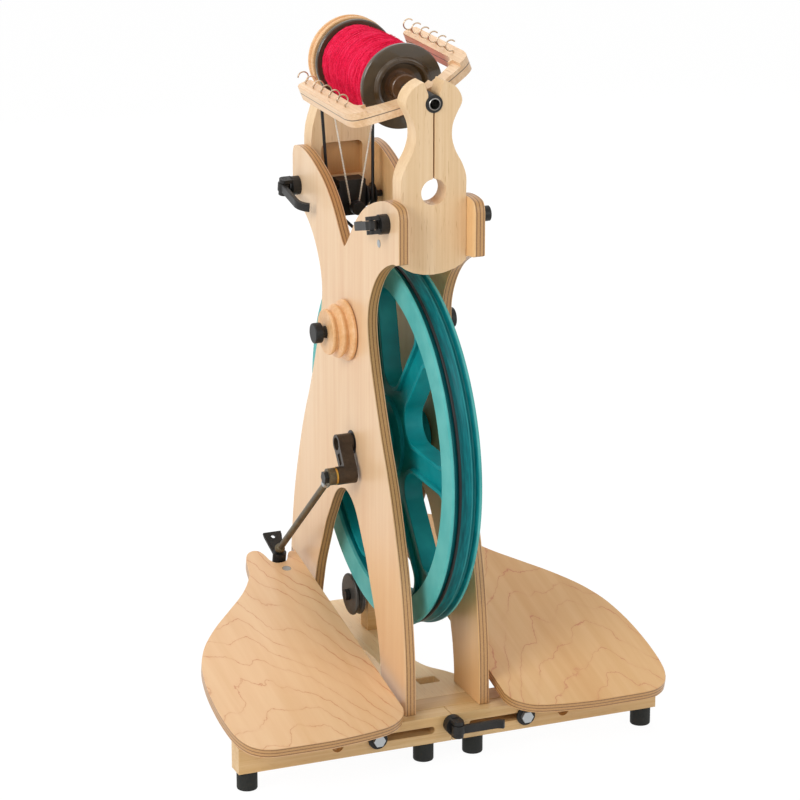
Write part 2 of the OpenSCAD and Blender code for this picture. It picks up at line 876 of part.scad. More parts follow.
module back_maiden() {
    color("#E5B97C")
        at_axle()
            difference() {
                front_plate(back_maiden_y, back_maiden_y + back_maiden_t,
                    lifted(concat(back_half, mirrored(back_half))));
                translate([0, 0, orifice_rise]) {
                    ycyl(110, 160, 9 + seat);
                    box(-9 - seat, 9 + seat, 110, 160, 0, 30);
                }
                translate([0, 0, back_pivot[1]])
                    front_plate(110, back_maiden_y + 8, concat([[-21, 8], [21, 8]],
                        arc([15, 34], 6, 0, 90, 6), arc([-15, 34], 6, 90, 180, 6)));
                translate([0, back_pivot[0], back_pivot[1]])
                    xcyl(-40, 40, shaft_r + run);
            }
}

module rear_bearing() {
    color("#1B1B1C")
        at_axle()
            translate([0, 0, orifice_rise])
                difference() {
                    union() {
                        ycyl(back_maiden_y, back_maiden_y + back_maiden_t, 9);
                        box(-9, 9, back_maiden_y, back_maiden_y + back_maiden_t, 0, 14.1);
                    }
                    ycyl(110, 160, spindle_r + 0.35);
                    box(-spindle_r - 0.35, spindle_r + 0.35, 110, 160, 0, 30);
                }
}

// treadle bars, one each side

module bush(side) {
    sided(side)
        translate([bolt_x, 0, bolt_z])
            difference() {
                ycyl(bar_y0, bar_y1, 3.45);
                ycyl(bar_y0 - 5, bar_y1 + 5, 2.4 + run);
            }
}

module bar(side) {
    sided(side)
        difference() {
            box(0.4, bar_reach, bar_y0, bar_y1, rail_low, bar_top);
            translate([bolt_x, 0, bolt_z])
                ycyl(bar_y0 - 5, bar_y1 + 5, 3.5);
            translate([bolt_x - slot_travel, 0, bolt_z])
                ycyl(bar_y0 - 5, bar_y1 + 5, 3.5);
            box(bolt_x - slot_travel, bolt_x, bar_y0 - 5, bar_y1 + 5, bolt_z - 3.5, bolt_z + 3.5);
            box(-5, 4.6, bar_y0 - 5, bar_y1 + 5, base_lever_z - 7, base_lever_z + 7);
            translate([112, 0, bolt_z - 1])
                ycyl(bar_y0 - 5, bar_y0 + 6, 5.5);
        }
}

module bar_feet(side) {
    sided(side)
        for (x = [24.5, bar_reach - 11])
            translate([x, bar_mid_y, -axle_h])
                cylinder(r = foot_d/2, h = foot_h);
}

module bar_brackets(side) {
    sided(side)
        for (x = [64, bar_reach - 22])
            translate([x, hinge_y, hinge_z])
                difference() {
                    union() {
                        xcyl(0, 6, knuckle_r);
                        box(0, 6, -knuckle_r, knuckle_r, bar_top - hinge_z, 0);
                    }
                    xcyl(-5, 15, hinge_pin_r + run);
                }
}

module at_treadle(side) {
    translate([0, hinge_y, hinge_z])
        rotate([side < 0 ? tilt_left : tilt_right, 0, 0])
            sided(side)
                children();
}

module hinge_pin(side) {
    sided(side)
        translate([0, hinge_y, hinge_z])
            xcyl(63, bar_reach - 6, hinge_pin_r);
}

treadle_edge = concat(
    curve([[50, -8], [50, 60], [50, 268], [51.5, 274], [55, 276], [59, 272], [62.5, 264], [66, 259.5],
        [73, 258], [77.5, 260], [80.5, 266], [82, 275], [85, 283], [91, 285], [97.5, 281],
        [102, 272], [105, 260], [108, 246], [113.5, 234], [123, 218.5], [135, 203.5], [153, 184],
        [171, 163.5], [187, 142], [197, 124], [205, 103], [211, 73], [213.6, 44], [214, 17],
        [212, -8], [206, -25.5], [196.5, -34.5], [184, -38.4], [160, -39], [128, -39], [95, -36],
        [73, -32], [61, -25.5], [53.5, -17.5], [50, -8]], 3));
treadle_points = [for (p = treadle_edge)
    [p[0] < 120 ? p[0] : 120 + (p[0] - 120)*(treadle_reach - 120)/94,
        p[1] < 0 ? p[1] : p[1]*treadle_len/285]];

module treadle(side) {
    at_treadle(side)
        difference() {
            translate([0, 0, treadle_w0])
                linear_extrude(treadle_t)
                    polygon(treadle_points);
            translate([rod_x, ball_v - 21, treadle_w0 - 5])
                cylinder(r = 2 + seat, h = 20);
            translate([rod_x, ball_v - 21, treadle_w1 - 2.4])
                cylinder(r = 4.2 + seat, h = 5);
        }
}

module treadle_brackets(side) {
    at_treadle(side)
        for (x = [70.6, bar_reach - 28.6])
            translate([x, 0, 0])
                difference() {
                    union() {
                        xcyl(0, 6, knuckle_r);
                        box(0, 6, -knuckle_r, knuckle_r, 0, treadle_w0);
                    }
                    xcyl(-5, 15, hinge_pin_r + run);
                }
}

// strap under the treadle: plate, cup rising through the notch, tail with a hole; then its screw
module strap(side) {
    at_treadle(side) {
        difference() {
            union() {
                box(rod_x - 8, rod_x + 8, ball_v - 30, ball_v, treadle_w0 - 2.4, treadle_w0);
                translate([rod_x, ball_v, treadle_w0 - 2.4])
                    cylinder(r = 6.6, h = treadle_t + 8.2);
                translate([rod_x, ball_v, treadle_w1 - 0.5])
                    rotate([28, 0, 0])
                        linear_extrude(2.6)
                            polygon([[-5, 3], [5, 3], [9, 24], [9, 28], [-9, 28], [-9, 24]]);
            }
            translate([rod_x, ball_v, ball_w])
                sphere(r = ball_r + run);
            translate([rod_x, ball_v, treadle_w1 - 0.5])
                rotate([28, 0, 0])
                    translate([0, 23, -5])
                        cylinder(r = 2.2, h = 15);
            translate([rod_x, ball_v - 21, treadle_w0 - 5])
                cylinder(r = 2 + seat, h = 20);
        }
        translate([rod_x, ball_v - 21, treadle_w0 - 2.4])
            cylinder(r = 2, h = treadle_t + 1);
        translate([rod_x, ball_v - 21, treadle_w1 - 2.4])
            cylinder(r = 4.2, h = 2.2);
    }
}

module at_ball(side, pin) {
    b = ball_at(pin);
    sided(side)
        translate([rod_x, b[0], b[1]])
            rotate([atan2(pin[1] - b[1], pin[0] - b[0]), 0, 0])
                children();
}

module ball(side, pin) {
    at_ball(side, pin)
        sphere(r = ball_r);
}

module rod(side, pin) {
    at_ball(side, pin)
        difference() {
            union() {
                ycyl(ball_r + run, footman_len - 6, rod_d/2);
                ycyl(footman_len - 17, footman_len - 12, rod_d/2 + 1.2);
                translate([0, footman_len, 0])
                    xcyl(washer_x + 1.7 - rod_x, washer_x + 8.7 - rod_x, 8);
            }
            translate([0, footman_len, 0])
                xcyl(-20, 20, 3 + seat);
        }
}

module pin_bolt(side, pin) {
    at_ball(side, pin)
        translate([0, footman_len, 0]) {
            xcyl(washer_x + 0.1 - rod_x, washer_x + 9 - rod_x, 3);
            translate([washer_x + 8.7 - rod_x, 0, 0])
                rotate([0, 90, 0])
                    cylinder(r = 6, h = 4, $fn = 6);
        }
}

module washer(side, pin) {
    at_ball(side, pin)
        translate([0, footman_len, 0])
            difference() {
                xcyl(washer_x - rod_x, washer_x + 1.7 - rod_x, 8.2);
                xcyl(-20, 20, 3 + seat);
            }
}

module left_bush() {
    color("#D8D4CB")
        at_axle()
            bush(-1);
}

module right_bush() {
    color("#D8D4CB")
        at_axle()
            bush(1);
}

module left_bar() {
    color("#CFA878")
        at_axle()
            bar(-1);
}

module right_bar() {
    color("#CFA878")
        at_axle()
            bar(1);
}

module left_bar_feet() {
    color("#232323")
        at_axle()
            bar_feet(-1);
}

module right_bar_feet() {
    color("#232323")
        at_axle()
            bar_feet(1);
}

module left_bar_brackets() {
    color("#333336")
        at_axle()
            bar_brackets(-1);
}

module right_bar_brackets() {
    color("#333336")
        at_axle()
            bar_brackets(1);
}

module left_hinge_pin() {
    color("#8C8A87")
        at_axle()
            hinge_pin(-1);
}

module right_hinge_pin() {
    color("#8C8A87")
        at_axle()
            hinge_pin(1);
}

module left_treadle() {
    color("#D8A574")
        at_axle()
            treadle(-1);
}

module right_treadle() {
    color("#D8A574")
        at_axle()
            treadle(1);
}

module left_treadle_brackets() {
    color("#333336")
        at_axle()
            treadle_brackets(-1);
}

module right_treadle_brackets() {
    color("#333336")
        at_axle()
            treadle_brackets(1);
}

module left_strap() {
    color("#1D1D1E")
        at_axle()
            strap(-1);
}

module right_strap() {
    color("#1D1D1E")
        at_axle()
            strap(1);
}

module left_ball() {
    color("#4A4744")
        at_axle()
            ball(-1, pin_left);
}

module right_ball() {
    color("#4A4744")
        at_axle()
            ball(1, pin_right);
}

module left_rod() {
    color("#5A534B")
        at_axle()
            rod(-1, pin_left);
}

module right_rod() {
    color("#5A534B")
        at_axle()
            rod(1, pin_right);
}

module left_pin_bolt() {
    color("#2B2B2D")
        at_axle()
            pin_bolt(-1, pin_left);
}

module right_pin_bolt() {
    color("#2B2B2D")
        at_axle()
            pin_bolt(1, pin_right);
}

module left_washer() {
    color("#B98D3F")
        at_axle()
            washer(-1, pin_left);
}

module right_washer() {
    color("#B98D3F")
        at_axle()
            washer(1, pin_right);
}

left_upright();
right_upright();
front_rail();
base_plank();
rear_feet();
axle_bearings();
frame_bolts();
idler_block();
drive_band();
brake_cord();
quick_releases();
storage_pegs();
roller_block();
wheel_rim();
wheel_spokes();
axle();
left_crank();
right_crank();
front_maiden();
front_bearing();
flyer_yoke();
flyer_shaft();
flyer_hooks();
whorl();
bobbin();
yarn();
back_maiden();
rear_bearing();
left_idler();
right_idler();
rear_roller();
front_lever();
back_lever();
base_lever();
brake_knob();
stored_whorl();
left_bush();
left_bar();
left_bar_feet();
left_bar_brackets();
left_hinge_pin();
left_treadle();
left_treadle_brackets();
left_strap();
left_ball();
left_rod();
left_pin_bolt();
left_washer();
right_bush();
right_bar();
right_bar_feet();
right_bar_brackets();
right_hinge_pin();
right_treadle();
right_treadle_brackets();
right_strap();
right_ball();
right_rod();
right_pin_bolt();
right_washer();
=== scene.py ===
import json
import math
import random

import bpy
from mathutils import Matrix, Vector


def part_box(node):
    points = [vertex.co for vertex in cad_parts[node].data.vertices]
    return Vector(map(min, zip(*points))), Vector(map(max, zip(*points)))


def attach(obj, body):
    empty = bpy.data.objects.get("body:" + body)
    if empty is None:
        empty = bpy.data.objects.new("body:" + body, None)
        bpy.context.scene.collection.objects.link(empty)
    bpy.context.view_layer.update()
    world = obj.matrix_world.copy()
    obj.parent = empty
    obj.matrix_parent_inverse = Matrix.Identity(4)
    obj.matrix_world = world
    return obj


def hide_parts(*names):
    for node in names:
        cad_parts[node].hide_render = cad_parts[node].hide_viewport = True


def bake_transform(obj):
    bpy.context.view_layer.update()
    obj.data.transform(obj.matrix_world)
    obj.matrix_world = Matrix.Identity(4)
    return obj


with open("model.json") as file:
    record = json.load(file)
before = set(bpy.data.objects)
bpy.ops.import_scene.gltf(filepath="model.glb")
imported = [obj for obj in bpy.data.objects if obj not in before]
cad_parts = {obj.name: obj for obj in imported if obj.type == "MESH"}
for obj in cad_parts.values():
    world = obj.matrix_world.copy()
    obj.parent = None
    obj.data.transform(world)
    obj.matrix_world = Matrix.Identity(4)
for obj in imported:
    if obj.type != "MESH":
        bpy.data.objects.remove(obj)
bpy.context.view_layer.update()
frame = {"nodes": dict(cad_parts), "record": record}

nodes = frame["nodes"]
behaviour = frame["record"]["behaviour"]
slotOf = {row["node"]: row["material_slot"] for row in frame["record"]["subparts"]}
bodyOf = {name: body for body, names in behaviour["bodies"].items() for name in names}
jointAt = {j["name"]: Vector(j["pos_m"]) for j in behaviour["joints"] if j["type"] == "hinge"}
mm = 0.001
axleAt = jointAt["wheel_spin"]
flyerAt = jointAt["flyer_spin"]
print("frame loaded:", len(nodes), "nodes")


# finishes

def linear(code):
    parts = [int(code[i:i + 2], 16) / 255 for i in (1, 3, 5)]
    return [c / 12.92 if c <= 0.04045 else ((c + 0.055) / 1.055) ** 2.4 for c in parts] + [1.0]


def addNode(tree, kind, inputs, out=0, stops=(), **settings):
    node = tree.nodes.new("ShaderNode" + kind)
    for name, value in settings.items():
        setattr(node, name, value)
    for socket, value in inputs.items():
        if isinstance(value, bpy.types.NodeSocket):
            tree.links.new(value, node.inputs[socket])
        else:
            node.inputs[socket].default_value = value
    if stops:
        bar = node.color_ramp.elements
        bar.remove(bar[1])
        bar[0].position = stops[0][0]
        bar[0].color = linear(stops[0][1])
        for place, colour in stops[1:]:
            bar.new(place).color = linear(colour)
    return node.outputs[out]


def newFinish(name, **shader):
    finish = bpy.data.materials.new(name)
    finish.use_nodes = True
    tree = finish.node_tree
    surface = tree.nodes["Principled BSDF"]
    for socket, value in shader.items():
        surface.inputs[socket.replace("_", " ")].default_value = value
    objectPlace = addNode(tree, "TexCoord", {}, out=3)
    return finish, tree, surface.inputs, objectPlace


# noise whose grains measure the given millimetres each way
def grain(tree, place, size, detail=3.0):
    scaled = addNode(tree, "Mapping", {"Vector": place, "Scale": [1000 / s for s in size]})
    return addNode(tree, "TexNoise", {"Vector": scaled, "Scale": 1.0, "Detail": detail, "Roughness": 0.55})


def roughened(tree, surface, height, depth, strength=0.5):
    bump = addNode(tree, "Bump", {"Height": height, "Strength": strength, "Distance": depth})
    tree.links.new(bump, surface["Normal"])


# solid maple, planed and lacquered: pale fibres along the grain with short darker pores
def solidMaple(name, along, tones, pores="#B98A52"):
    finish, tree, surface, place = newFinish(name, Roughness=0.42, Coat_Weight=0.12, Coat_Roughness=0.3)
    fibreSize = [2.2, 2.2, 2.2]
    fibreSize[along] = 120
    streakSize = [14, 14, 14]
    streakSize[along] = 260
    poreSize = [0.9, 0.9, 0.9]
    poreSize[along] = 14
    fibres = grain(tree, place, fibreSize)
    streaks = grain(tree, place, streakSize, 1.5)
    poreMask = grain(tree, place, poreSize, 1.0)
    both = addNode(tree, "Math", {0: fibres, 1: streaks}, operation="ADD")
    half = addNode(tree, "Math", {0: both, 1: 0.5}, operation="MULTIPLY")
    wood = addNode(tree, "ValToRGB", {"Fac": half}, stops=list(zip((0.36, 0.5, 0.62), tones)))
    poreLine = addNode(tree, "MapRange", {"Value": poreMask, "From Min": 0.66, "From Max": 0.76, "To Max": 0.5})
    colour = addNode(tree, "Mix", {0: poreLine, 6: wood, 7: linear(pores)}, out=2, data_type="RGBA")
    tree.links.new(colour, surface["Base Color"])
    shine = addNode(tree, "MapRange", {"Value": fibres, "To Min": 0.36, "To Max": 0.5})
    tree.links.new(shine, surface["Roughness"])
    roughened(tree, surface, fibres, 0.15 * mm, 0.25)
    return finish


# veneered plywood, clear lacquer: plain faces, and dark cross-plies that show where an edge is cut
plyBoard = {"lines": 3, "lineWidth": 0.95, "glueTone": "#704A2A", "coreTone": "#CFA26B", "coreDeep": "#AF7F4A",
            # the last four entries give painted bounce light: a warmer tone low on the plywood
            "paintedBounceTone": "#E0AE76", "paintedBounceFrom": 0.3, "paintedBounceTo": 0.04, "paintedBounceMost": 0.55}


def maplePly(name, layer, thick, tones, faceGrain, figure=None):
    finish, tree, surface, place = newFinish(name, Roughness=0.4, Coat_Weight=0.15, Coat_Roughness=0.28)
    depth = layer(tree, place)
    fibres = grain(tree, place, faceGrain)
    broad = grain(tree, place, [s * 6 for s in faceGrain], detail=1.5)
    both = addNode(tree, "Math", {0: fibres, 1: broad}, operation="ADD")
    half = addNode(tree, "Math", {0: both, 1: 0.5}, operation="MULTIPLY")
    face = addNode(tree, "ValToRGB", {"Fac": half}, stops=list(zip((0.36, 0.5, 0.64), tones)))
    if figure:
        face = figure(tree, place, face)
    else:
        # painted bounce light: the face warms toward the feet, standing in for light thrown up from the
        # treadles
        height = addNode(tree, "SeparateXYZ", {0: place}, out=2)
        paintedBounce = addNode(tree, "MapRange", {"Value": height, "From Min": plyBoard["paintedBounceFrom"],
                       "From Max": plyBoard["paintedBounceTo"], "To Max": plyBoard["paintedBounceMost"]})
        face = addNode(tree, "Mix", {0: paintedBounce, 6: face, 7: linear(plyBoard["paintedBounceTone"])}, out=2,
                       data_type="RGBA")
    # cut edge: the core's own tone starts under the face veneer, then one dark line for each cross-ply
    wander = grain(tree, place, (30, 30, 30), detail=2.0)
    shifted = addNode(tree, "MapRange", {"Value": wander, "To Min": -0.16 * mm, "To Max": 0.16 * mm})
    ragged = addNode(tree, "Math", {0: depth, 1: shifted}, operation="ADD")
    pitch = thick / plyBoard["lines"] * mm
    count = addNode(tree, "Math", {0: ragged, 1: pitch}, operation="DIVIDE")
    inPly = addNode(tree, "Math", {0: count}, operation="FRACT")
    offLine = addNode(tree, "Math", {0: inPly, 1: 0.5}, operation="SUBTRACT")
    away = addNode(tree, "Math", {0: offLine}, operation="ABSOLUTE")
    halfLine = plyBoard["lineWidth"] / (2 * thick / plyBoard["lines"])
    line = addNode(tree, "MapRange", {"Value": away, "From Min": halfLine * 1.25, "From Max": halfLine * 0.6})
    deep = addNode(tree, "MapRange", {"Value": depth, "From Min": 0.35 * mm, "From Max": 0.9 * mm})
    fromBack = addNode(tree, "Math", {0: thick * mm, 1: depth}, operation="SUBTRACT")
    deepBack = addNode(tree, "MapRange", {"Value": fromBack, "From Min": 0.35 * mm, "From Max": 0.9 * mm})
    inside = addNode(tree, "Math", {0: deep, 1: deepBack}, operation="MULTIPLY")
    speckle = grain(tree, place, (1.1, 1.1, 1.1), detail=2.0)
    coreTone = addNode(tree, "Mix", {0: speckle, 6: linear(plyBoard["coreTone"]),
                       7: linear(plyBoard["coreDeep"])}, out=2, data_type="RGBA")
    edge = addNode(tree, "Mix", {0: inside, 6: face, 7: coreTone}, out=2, data_type="RGBA")
    strength = addNode(tree, "MapRange", {"Value": speckle, "From Min": 0.2, "From Max": 0.7,
                       "To Min": 0.55, "To Max": 1.0})
    lineIn = addNode(tree, "Math", {0: line, 1: inside}, operation="MULTIPLY")
    lineMask = addNode(tree, "Math", {0: lineIn, 1: strength}, operation="MULTIPLY")
    colour = addNode(tree, "Mix", {0: lineMask, 6: edge, 7: linear(plyBoard["glueTone"])}, out=2,
                     data_type="RGBA")
    tree.links.new(colour, surface["Base Color"])
    ends = addNode(tree, "Math", {0: lineMask, 1: fibres}, operation="SUBTRACT")
    roughened(tree, surface, ends, 0.2 * mm, 0.2)
    return finish


# depth below an upright's outer face, the same on both sides of the frame
def uprightLayer(tree, place):
    across = addNode(tree, "SeparateXYZ", {0: place}, out=0)
    apart = addNode(tree, "Math", {0: across}, operation="ABSOLUTE")
    return addNode(tree, "Math", {0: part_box("right_upright")[1].x, 1: apart}, operation="SUBTRACT")


# plain-sliced face: reddish growth lines that run along the treadle and close into jagged arches near its rim
cathedral = {"spacing": 38.0, "bend": 72.0, "middle": {"left": 172.0, "right": 150.0}, "jag": 9.5,
             "lineWidth": 0.85, "lineTone": "#BE6E42", "strength": 0.76, "sway": 60.0,
             "glowReach": 5.0, "glow": 0.08}


def cathedralFigure(side):
    def figure(tree, place, face):
        c = cathedral
        across = addNode(tree, "SeparateXYZ", {0: place}, out=0)
        along = addNode(tree, "SeparateXYZ", {0: place}, out=1)
        aside = addNode(tree, "Math", {0: across}, operation="ABSOLUTE")
        off = addNode(tree, "Math", {0: aside, 1: 1000.0, 2: -c["middle"][side]}, operation="MULTIPLY_ADD")
        square = addNode(tree, "Math", {0: off, 1: 2.0}, operation="POWER")
        bowl = addNode(tree, "Math", {0: square, 1: c["bend"]}, operation="DIVIDE")
        rings = addNode(tree, "Math", {0: along, 1: 1000.0, 2: bowl}, operation="MULTIPLY_ADD")
        jags = grain(tree, place, (9, 15, 15), detail=3.0)
        sway = grain(tree, place, (45, 120, 120), detail=1.0)
        jagShift = addNode(tree, "MapRange", {"Value": jags, "To Min": -c["jag"], "To Max": c["jag"]},
                           clamp=False)
        swayShift = addNode(tree, "MapRange", {"Value": sway, "To Min": -c["sway"], "To Max": c["sway"]},
                            clamp=False)
        shifts = addNode(tree, "Math", {0: jagShift, 1: swayShift}, operation="ADD")
        bent = addNode(tree, "Math", {0: rings, 1: shifts}, operation="ADD")
        nearLine = addNode(tree, "Math", {0: bent, 1: c["spacing"] / 2}, operation="PINGPONG")
        # the lines crowd where the arches run steep, so their width is divided by the slope
        slope = addNode(tree, "Math", {0: off, 1: 2 / c["bend"]}, operation="MULTIPLY")
        steep = addNode(tree, "Math", {0: slope, 1: slope, 2: 1.0}, operation="MULTIPLY_ADD")
        rate = addNode(tree, "Math", {0: steep}, operation="SQRT")
        away = addNode(tree, "Math", {0: nearLine, 1: rate}, operation="DIVIDE")
        line = addNode(tree, "MapRange", {"Value": away, "From Min": c["lineWidth"], "From Max": 0.15})
        glow = addNode(tree, "MapRange", {"Value": away, "From Min": c["glowReach"], "From Max": 0.0,
                       "To Max": c["glow"]})
        fade = grain(tree, place, (26, 60, 60), detail=1.5)
        shown = addNode(tree, "MapRange", {"Value": fade, "From Min": 0.3, "From Max": 0.55,
                        "To Max": c["strength"]})
        drawn = addNode(tree, "Math", {0: line, 1: shown}, operation="MULTIPLY")
        whole = addNode(tree, "Math", {0: drawn, 1: glow}, operation="MAXIMUM")
        return addNode(tree, "Mix", {0: whole, 6: face, 7: linear(c["lineTone"])}, out=2, data_type="RGBA")
    return figure


# laminated yoke: two maple boards with one dark glue line between them, turned with the flyer
yokeBoard = {"turn": 21.5, "lineWidth": 0.9, "lineTone": "#4E3E31",
             "tones": ("#D9B083", "#E4BF96", "#EDCEAA")}


def laminatedMaple(name):
    finish = solidMaple(name, 1, yokeBoard["tones"], "#A9773F")
    tree = finish.node_tree
    surface = tree.nodes["Principled BSDF"].inputs
    place = addNode(tree, "TexCoord", {}, out=3)
    centred = addNode(tree, "VectorMath", {0: place, 1: flyerAt}, operation="SUBTRACT")
    turned = addNode(tree, "Mapping", {"Vector": centred, "Rotation": (0, math.radians(yokeBoard["turn"]), 0)})
    height = addNode(tree, "SeparateXYZ", {0: turned}, out=2)
    away = addNode(tree, "Math", {0: height}, operation="ABSOLUTE")
    half = yokeBoard["lineWidth"] / 2 * mm
    line = addNode(tree, "MapRange", {"Value": away, "From Min": half * 1.3, "From Max": half * 0.7,
                   "To Max": 0.9})
    wood = surface["Base Color"].links[0].from_socket
    colour = addNode(tree, "Mix", {0: line, 6: wood, 7: linear(yokeBoard["lineTone"])}, out=2,
                     data_type="RGBA")
    tree.links.new(colour, surface["Base Color"])
    return finish


# satin lacquer over a turned wheel: one strong hue with faint brush clouds; on the rim, painted shade darkens
# the groove
rimPaintAndLight = {"half": 12.0, "grooveHalf": 11.0, "ridgeHighlightTone": "#4FAAA8",
            "ridgeHighlights": ((0.68, "#000000"), (0.71, "#B0B0B0"), (0.74, "#000000"),
                       (0.84, "#000000"), (0.87, "#B0B0B0"), (0.9, "#000000"))}


def tealLacquer(name, tones, shadedGrooveTones=None):
    finish, tree, surface, place = newFinish(name, Roughness=0.42, Specular_IOR_Level=0.16)
    clouds = grain(tree, place, (45, 45, 45), detail=3.0)
    colour = addNode(tree, "ValToRGB", {"Fac": clouds}, stops=list(zip((0.3, 0.52, 0.75), tones)))
    brush = grain(tree, place, (1.6, 18, 18), detail=2.0)
    if shadedGrooveTones:
        shadedGroove = addNode(tree, "ValToRGB", {"Fac": brush}, stops=list(zip((0.3, 0.52, 0.75), shadedGrooveTones)))
        across = addNode(tree, "SeparateXYZ", {0: place}, out=0)
        aside = addNode(tree, "Math", {0: across}, operation="ABSOLUTE")
        # painted highlights: two light lines where the paint would catch the light on low ridges inside the
        # right-hand flange
        half = rimPaintAndLight["half"] * mm
        fromLeft = addNode(tree, "MapRange", {"Value": across, "From Min": -half, "From Max": half})
        ridgeHighlights = addNode(tree, "ValToRGB", {"Fac": fromLeft}, stops=rimPaintAndLight["ridgeHighlights"])
        shadedGroove = addNode(tree, "Mix", {0: ridgeHighlights, 6: shadedGroove, 7: linear(rimPaintAndLight["ridgeHighlightTone"])}, out=2,
                         data_type="RGBA")
        flange = addNode(tree, "MapRange", {"Value": aside, "From Min": rimPaintAndLight["grooveHalf"] * mm,
                         "From Max": half})
        colour = addNode(tree, "Mix", {0: flange, 6: shadedGroove, 7: colour}, out=2, data_type="RGBA")
    tree.links.new(colour, surface["Base Color"])
    shine = addNode(tree, "MapRange", {"Value": brush, "To Min": 0.34, "To Max": 0.5})
    tree.links.new(shine, surface["Roughness"])
    roughened(tree, surface, brush, 0.12 * mm, 0.2)
    return finish


# a plain moulded or coated surface: fine grit, slightly uneven in tone
def grittyFinish(name, dark, light, grit, rough, metal=0.0, coat=0.0):
    finish, tree, surface, place = newFinish(name, Metallic=metal, Specular_IOR_Level=0.32, Coat_Weight=coat)
    specks = grain(tree, place, (grit, grit, grit), detail=2.0)
    wear = grain(tree, place, (grit * 14, grit * 14, grit * 14), detail=3.0)
    both = addNode(tree, "Math", {0: specks, 1: wear}, operation="ADD")
    half = addNode(tree, "Math", {0: both, 1: 0.5}, operation="MULTIPLY")
    colour = addNode(tree, "ValToRGB", {"Fac": half}, stops=((0.38, dark), (0.62, light)))
    tree.links.new(colour, surface["Base Color"])
    shine = addNode(tree, "MapRange", {"Value": wear, "To Min": rough - 0.08, "To Max": rough + 0.08})
    tree.links.new(shine, surface["Roughness"])
    roughened(tree, surface, specks, 0.1 * mm, 0.3)
    return finish


# moulded bobbin: a coppery hub and a bronze dish inside a dull olive flange
bobbinRings = {"radius": 45.0, "share": 0.6,
               "tones": ((0.0, "#6A4526"), (0.34, "#6A4526"), (0.37, "#3A2913"),
                         (0.6, "#4A361A"), (0.64, "#4C4335"), (1.0, "#50483A"))}


def ringedBobbin(name):
    finish = grittyFinish(name, "#2E2215", "#4A3822", 0.8, 0.3, 0.0, 0.5)
    tree = finish.node_tree
    surface = tree.nodes["Principled BSDF"].inputs
    place = addNode(tree, "TexCoord", {}, out=3)
    centred = addNode(tree, "VectorMath", {0: place, 1: flyerAt}, operation="SUBTRACT")
    across = addNode(tree, "VectorMath", {0: centred, 1: (1, 0, 1)}, operation="MULTIPLY")
    radius = addNode(tree, "VectorMath", {0: across}, out=1, operation="LENGTH")
    part = addNode(tree, "MapRange", {"Value": radius, "From Max": bobbinRings["radius"] * mm})
    rings = addNode(tree, "ValToRGB", {"Fac": part}, stops=bobbinRings["tones"])
    grit = surface["Base Color"].links[0].from_socket
    colour = addNode(tree, "Mix", {0: bobbinRings["share"], 6: grit, 7: rings}, out=2, data_type="RGBA")
    tree.links.new(colour, surface["Base Color"])
    return finish


# wool singles: matt fibres, deep red in the hollows and pinker where the halo catches light
def crimsonWool(name):
    finish, tree, surface, place = newFinish(name, Roughness=0.9, Specular_IOR_Level=0.15, Sheen_Weight=0.15)
    surface["Sheen Tint"].default_value = linear("#FF4C70")
    fibres = grain(tree, place, (1.1, 1.1, 1.1), detail=4.0)
    # tone runs round the winding, and changes from one strand to the next along it
    strands = grain(tree, place, (24, 1.7, 24), detail=2.0)
    both = addNode(tree, "Math", {0: fibres, 1: strands}, operation="ADD")
    half = addNode(tree, "Math", {0: both, 1: 0.5}, operation="MULTIPLY")
    colour = addNode(tree, "ValToRGB", {"Fac": half},
                     stops=((0.33, "#B80A33"), (0.5, "#EA1A49"), (0.66, "#F8446C")))
    tree.links.new(colour, surface["Base Color"])
    roughened(tree, surface, fibres, 0.35 * mm, 0.7)
    return finish


maidenTones = ("#DFBC8E", "#E5C498", "#EACBA2")


